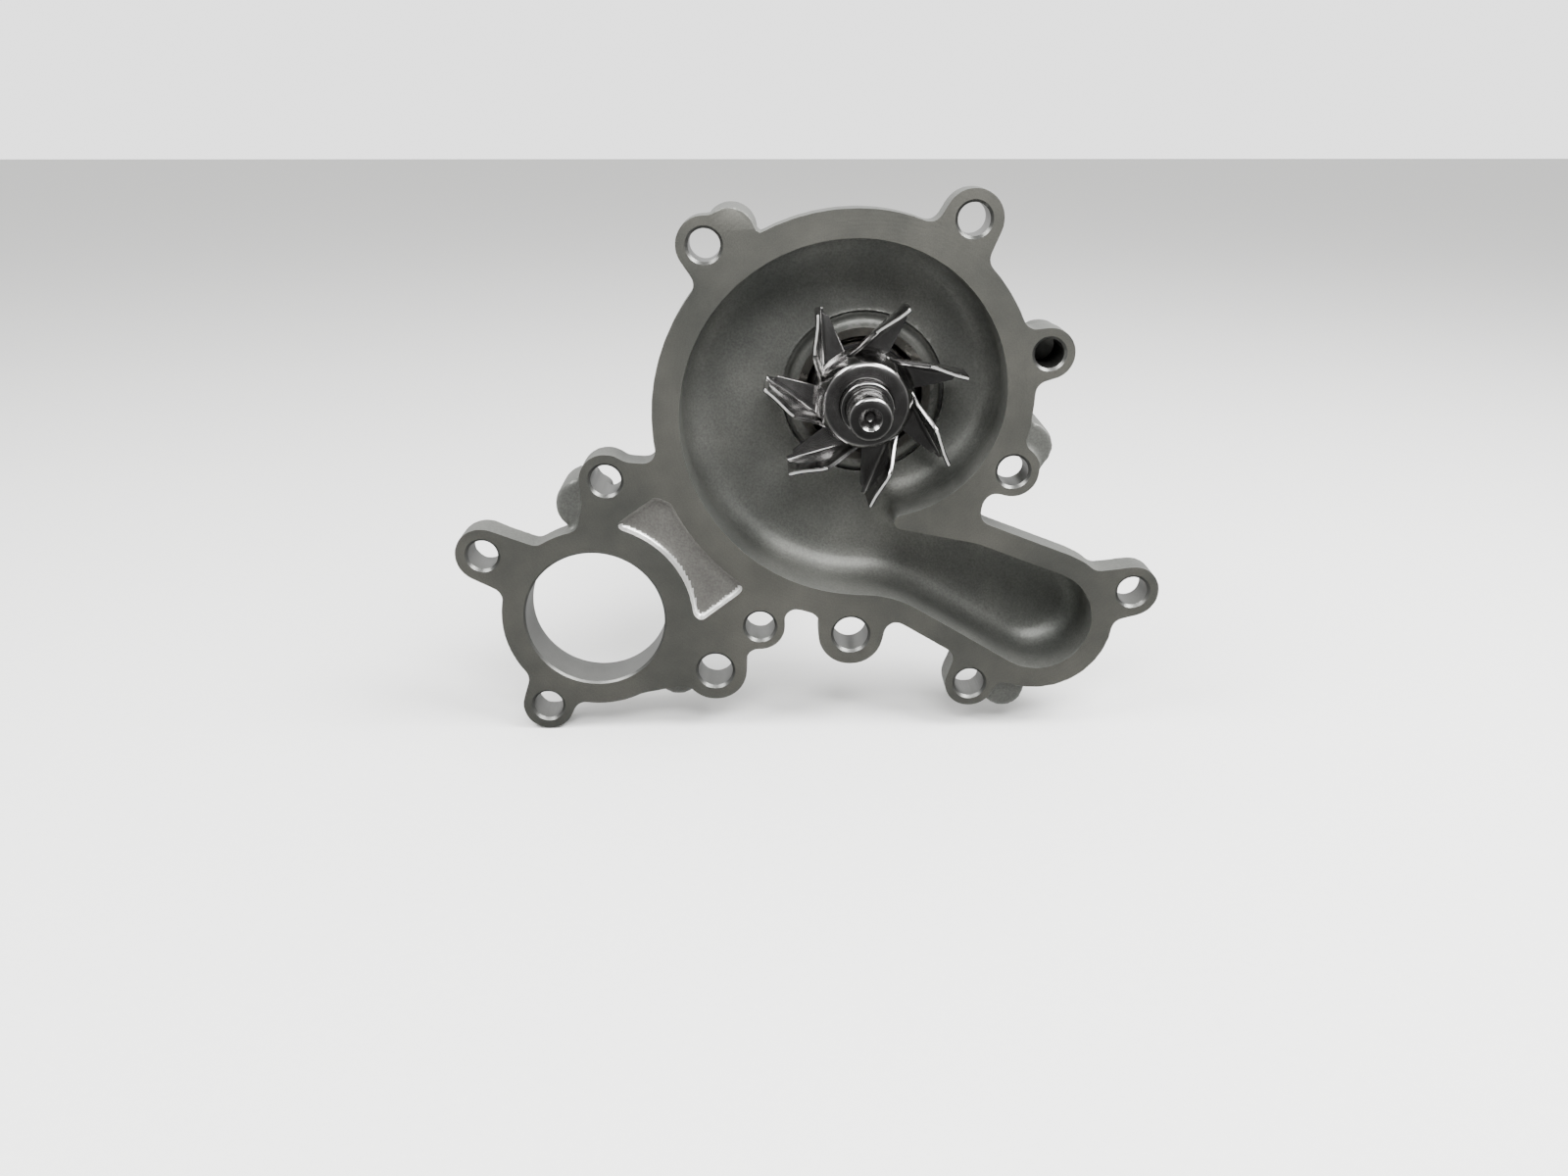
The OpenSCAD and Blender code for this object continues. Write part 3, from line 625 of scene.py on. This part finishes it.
def starPlate():
    shape = impellerShape
    lean = math.degrees(math.acos(shape["footRadius"] / shape["radius"]))
    notch = lean - math.degrees(math.acos(shape["footRadius"] / shape["plateRadius"]))
    step = 360 / shape["blades"]
    outline = []
    endInset, endTurn = shape["armEnd"]
    arch = step - shape["archSkip"] - notch
    for k in range(shape["blades"]):
        tipTurn = shape["firstTip"] + k * step
        tip = onFace(shape["radius"], tipTurn)
        foot = onFace(shape["footRadius"], tipTurn + lean)
        along = (tip - foot).normalized()
        inward = Vector((along.y, -along.x))
        back = inward * shape["bend"]
        outline.append(onFace(shape["radius"] - endInset, tipTurn - endTurn))      # rounded arm end
        outline.append(tip - along * shape["armTip"] + back * shape["armTipWidth"])
        outline.append(foot + along * shape["armRoot"] + back)
        for i in range(shape["archSteps"] + 1):
            turn = tipTurn + notch + shape["archStart"] + arch * i / shape["archSteps"]
            outline.append(onFace(shape["plateRadius"], turn))
    bm = bmesh.new()
    backDepth = (shape["plateBack"] + shape["plateEase"]) * mm
    frontDepth = (shape["plateFront"] - shape["plateEase"]) * mm
    low = [bm.verts.new((p.x * mm, backDepth, p.y * mm)) for p in outline]
    high = [bm.verts.new((p.x * mm, frontDepth, p.y * mm)) for p in outline]
    count = len(outline)
    bm.faces.new(low)
    bm.faces.new(high[::-1])
    for i in range(count):
        j = (i + 1) % count
        bm.faces.new((low[j], low[i], high[i], high[j]))
    bmesh.ops.recalc_face_normals(bm, faces=bm.faces)
    plate = newObject("starPlate", meshFrom(bm, "starPlate"))
    edge = plate.modifiers.new("edge", "BEVEL")
    edge.width = shape["plateBevel"] * mm
    edge.segments = 2
    edge.limit_method = "ANGLE"
    applyModifiers(plate)
    return plate


def bladeHeight(fromTip):
    # full height near the tip, then a slope down to the hub
    shape = impellerShape
    full = shape["plateBack"] - shape["crown"]
    if fromTip <= shape["fullLength"]:
        height = full
    elif fromTip <= shape["slopeEnd"]:
        f = (fromTip - shape["fullLength"]) / (shape["slopeEnd"] - shape["fullLength"])
        height = full + (shape["slopeHeight"] - full) * f
    else:
        share, length = shape["runOut"]
        height = shape["slopeHeight"] * (1 - share * (fromTip - shape["slopeEnd"]) / length)
    depth, reach = shape["ease"]
    return height - depth * max(0.0, 1 - abs(fromTip - shape["fullLength"]) / reach)


def bladeSection(fromTip, thin):
    # outline of the bent sheet, as (distance across, height above the back of the plate)
    shape = impellerShape
    outer, sheet = shape["bend"], shape["sheet"]
    inner = outer - sheet
    outSteps, inSteps = shape["bendSteps"]
    flange = min(shape["flange"], outer + fromTip * shape["flangeGrow"])
    section = [(flange, thin)]
    for i in range(outSteps + 1):
        a = math.pi / 2 * i / outSteps
        across = outer - outer * math.sin(a) + thin
        section.append((across, outer - outer * math.cos(a) + thin * (1 - i / outSteps)))
    top = bladeHeight(fromTip) - thin
    nearSide, farSide = shape["edgeAcross"]
    nearTop, farTop = shape["edgeDown"]
    section += [(thin, top - farTop), (nearSide + thin, top - nearTop), (farSide + thin, top),
                (sheet - farSide - thin, top), (sheet - nearSide - thin, top - nearTop),
                (sheet - thin, top - farTop)]
    for i in range(inSteps + 1):
        a = math.pi / 2 * (1 - i / inSteps)
        across = outer - inner * math.sin(a) - (thin if i == 0 else 0)
        section.append((across, outer - inner * math.cos(a) - thin * i / inSteps))
    section.append((flange, sheet - thin))
    return section


def bladeMesh(turn):
    # the sheet's section is lofted along the blade, from the foot at the hub to the tip
    shape = impellerShape
    lean = math.degrees(math.acos(shape["footRadius"] / shape["radius"]))
    tip = onFace(shape["radius"], turn)
    foot = onFace(shape["footRadius"], turn + lean)
    length = (tip - foot).length
    along = (tip - foot).normalized()
    inward = Vector((along.y, -along.x))
    fromTips = (shape["slopeEnd"], *shape["onSlope"], shape["fullLength"], *shape["nearTip"])
    stations = list(shape["nearFoot"]) + [length - fromTip for fromTip in fromTips]
    thinning = [0.0] * (len(stations) - 2) + list(shape["tipThin"])
    bm = bmesh.new()
    loops = []
    for s, thin in zip(stations, thinning):
        fromTip = length - s
        bow = shape["kink"] * math.exp(-((fromTip - shape["fullLength"]) / shape["kinkReach"]) ** 2)
        loop = []
        for across, up in bladeSection(fromTip, thin):
            lift = bow * min(1.0, max(0.0, (up - shape["bend"]) / shape["kinkReach"]))
            p = foot + along * s + inward * (across + lift)
            loop.append(bm.verts.new((p.x * mm, (shape["plateBack"] - up) * mm, p.y * mm)))
        loops.append(loop)
    count = len(loops[0])
    for a, b in zip(loops, loops[1:]):
        for i in range(count):
            j = (i + 1) % count
            bm.faces.new((a[i], a[j], b[j], b[i]))
    bm.faces.new(loops[0])
    bm.faces.new(loops[-1][::-1])
    bmesh.ops.recalc_face_normals(bm, faces=bm.faces)
    bmesh.ops.triangulate(bm, faces=[f for f in bm.faces if len(f.verts) > 4])
    return meshFrom(bm, "blade")


def buildImpeller():
    shape, hub = impellerShape, impellerShape["hub"]
    impeller = starPlate()
    impeller.name = "impellerStamping"
    for k in range(shape["blades"]):
        blade = bladeMesh(shape["firstTip"] + k * 360 / shape["blades"])
        combine(impeller, newObject("blade", blade), "UNION")
    # clears the plate inside the drawn hub before the hub is added
    hubCut = rod(hub["plateCut"], 0, hub["cutTo"], (0, 0), fineTurn)
    combine(impeller, newObject("hubCut", hubCut), "DIFFERENCE")
    drawnHub = turnedMesh("drawnHub", rounded(hub["profile"], hub["rounding"]), fineTurn)
    combine(impeller, newObject("drawnHub", drawnHub), "UNION")
    smoothExceptEdges(impeller, shape["sharpEdge"])
    # the blades' sheared front edges that face the front take a much lighter base colour: a painted
    # highlight, lighter than the rolled sheet
    impeller.data.materials.clear()
    impeller.data.materials.append(impellerSteel)
    impeller.data.materials.append(highlightPaint)
    for face in impeller.data.polygons:
        highlighted = face.center.y < shape["highlightDepth"] * mm and face.normal.y < shape["highlightTilt"]
        face.material_index = 1 if highlighted else 0
    print("stage: impeller has", len(impeller.data.polygons), "faces")
    return impeller


finish(buildImpeller(), None, "impeller", "rotor")

# bush pressed on the shaft, with a rounded front lip
bushShape = {
    "profile": [(6.36, -1.95), (7.75, -1.95), (7.75, 13.9), (6.36, 13.9)],
    "rounding": {0: 0.25, 1: 1.25, 2: 0.4, 3: 0.2},
    "sharpEdge": 30,
}

# stepped shaft, with the balls' groove and a centre drilling in each end
shaftShape = {
    "profile": [(0, 87.0), (1.2, 87.6), (1.2, 88.6), (3.3, 90.95), (7.1, 90.95), (7.93, 90.1), (7.93, 49.0),
                (7.5, 48.2), (7.25, 46.0), (7.5, 43.8), (7.93, 43.0), (7.93, 14.6), (7.36, 14.0),
                (6.34, 14.0), (6.34, -14.98), (3.3, -14.98), (1.2, -12.4), (1.2, -11.6), (0, -11.0)],
    "rounding": {3: 0.2, 4: 0.4, 5: 0.5, 14: 1.5, 15: 0.3},
    "sharpEdge": 30,
}


def buildTurned(name, shape):
    closed = shape["profile"][0][0] != 0
    piece = newObject(name, turnedMesh(name, rounded(shape["profile"], shape["rounding"], closed), fineTurn))
    smoothExceptEdges(piece, shape["sharpEdge"])
    return piece


finish(buildTurned("impellerBush", bushShape), turnedSteel, "impeller_bush", "rotor")
finish(buildTurned("pumpShaft", shaftShape), turnedSteel, "shaft", "rotor")
print("stage: bush and shaft turned")

# pieces whose frame shape is right take a finish of their own
frameFinishes = {
    "bearing_outer_ring": groundSteel, "bearing_balls": ballSteel, "ball_cage": cagePlastic,
    "bearing_rollers": ballSteel, "roller_cage": cagePlastic, "bearing_seal_front": blackRubber,
    "bearing_seal_rear": blackRubber, "pulley_hub": platedHub, "seal_cup": sealSteel,
    "seal_bellows": blackRubber, "seal_spring": groundSteel, "seal_carbon_ring": carbonFace,
    "seal_band": sealSteel, "mating_ring": ceramicFace, "mating_ring_boot": blackRubber,
    "slinger": blackRubber,
}
for name, material in frameFinishes.items():
    repaint(name, material)
print("stage: finishes set on the frame's own pieces")

# floor, light and camera
studio = {
    "floorTone": (0.94, 0.94, 0.93),
    "floorSize": 4.0,
    "floorGap": 0.0003,     # keeps the floor just clear of the casting
    "cameraPlace": (-0.0273, -0.35731, 0.083),
    "cameraTurn": (68.814, 0.0, -0.538),   # degrees
    "lens": 29.025,
    "sensor": 36,
    "sky": 1.6,             # light from behind the pump
    "skyFront": 0.2,        # light from the front, where nothing bright stands
    "skyLow": 0.45,         # share of it left near the floor
    "frontToBack": (-0.75, 0.55),       # where the light grows from the front to the back
    "lowToHigh": (-0.3, 0.35),          # and from the floor upwards
    "skyTone": (1.0, 1.0, 0.99),
    "backdrop": 2.4,        # tone of the open background
    "backdropTone": (1.0, 1.0, 1.0),
    "lampAim": (-0.01, 0, -0.02),
    "lamps": [
        # name, place, width, height, watts
        ("rightSoftbox", (0.46, -0.16, 0.66), 0.5, 0.4, 18.0),
        ("leftSoftbox", (-0.46, -0.20, 0.60), 0.4, 0.35, 7.0),
        ("frontSoftbox", (0.05, -0.62, 0.62), 0.5, 0.25, 9.0),
    ],
}


def buildStudio():
    low = cadBox[0].z
    bm = bmesh.new()
    bmesh.ops.create_grid(bm, x_segments=2, y_segments=2, size=studio["floorSize"])
    floor = newObject("studioFloor", meshFrom(bm, "studioFloor"))
    floor.location = (0, 0, low - studio["floorGap"])
    paper = metalFinish("floorPaper", {
        "metal": 0.0, "gloss": 0.2, "dark": studio["floorTone"], "light": studio["floorTone"],
        "patchScale": 6.0, "grainScale": 400.0, "speckle": 0.01, "rough": (0.85, 0.9),
        "bump": 0.02, "bumpDepth": 0.05})
    floor.data.materials.append(paper)
    floor.visible_glossy = False     # keeps the polished steel as dark as it is over a dark bench
    world = bpy.data.worlds.new("studioWorld")
    bpy.context.scene.world = world
    world.use_nodes = True
    tree = world.node_tree
    place = tree.nodes.new("ShaderNodeTexCoord").outputs["Generated"]
    split = tree.nodes.new("ShaderNodeSeparateXYZ")
    tree.links.new(place, split.inputs["Vector"])

    def fade(output, span, atLow, atHigh):
        step = tree.nodes.new("ShaderNodeMapRange")
        step.interpolation_type = "SMOOTHSTEP"
        for key, value in zip(("From Min", "From Max", "To Min", "To Max"), (*span, atLow, atHigh)):
            step.inputs[key].default_value = value
        tree.links.new(split.outputs[output], step.inputs["Value"])
        return step.outputs["Result"]

    # brighter behind and above, dimmer from the front and the floor
    both = tree.nodes.new("ShaderNodeMath")
    both.operation = "MULTIPLY"
    tree.links.new(fade("Y", studio["frontToBack"], studio["skyFront"], studio["sky"]), both.inputs[0])
    tree.links.new(fade("Z", studio["lowToHigh"], studio["skyLow"], 1.0), both.inputs[1])
    light = tree.nodes["Background"]
    light.inputs["Color"].default_value = studio["skyTone"] + (1.0,)
    tree.links.new(both.outputs["Value"], light.inputs["Strength"])
    backdrop = tree.nodes.new("ShaderNodeBackground")
    backdrop.inputs["Strength"].default_value = studio["backdrop"]
    backdrop.inputs["Color"].default_value = studio["backdropTone"] + (1.0,)
    seen = tree.nodes.new("ShaderNodeMixShader")
    tree.links.new(tree.nodes.new("ShaderNodeLightPath").outputs["Is Camera Ray"], seen.inputs["Fac"])
    tree.links.new(light.outputs["Background"], seen.inputs[1])
    tree.links.new(backdrop.outputs["Background"], seen.inputs[2])
    tree.links.new(seen.outputs["Shader"], tree.nodes["World Output"].inputs["Surface"])
    for name, spot, width, height, watts in studio["lamps"]:
        lamp = bpy.data.lights.new(name, "AREA")
        lamp.shape = "RECTANGLE"
        lamp.size = width
        lamp.size_y = height
        lamp.energy = watts
        holder = bpy.data.objects.new(name, lamp)
        bpy.context.scene.collection.objects.link(holder)
        holder.location = spot
        toPump = Vector(studio["lampAim"]) - holder.location
        holder.rotation_euler = toPump.to_track_quat("-Z", "Y").to_euler()
    cameraData = bpy.data.cameras.new("camera")
    cameraData.lens = studio["lens"]
    cameraData.sensor_width = studio["sensor"]
    camera = bpy.data.objects.new("camera", cameraData)
    bpy.context.scene.collection.objects.link(camera)
    camera.location = studio["cameraPlace"]
    camera.rotation_euler = [math.radians(a) for a in studio["cameraTurn"]]
    bpy.context.scene.camera = camera


buildStudio()
print("stage: studio set")
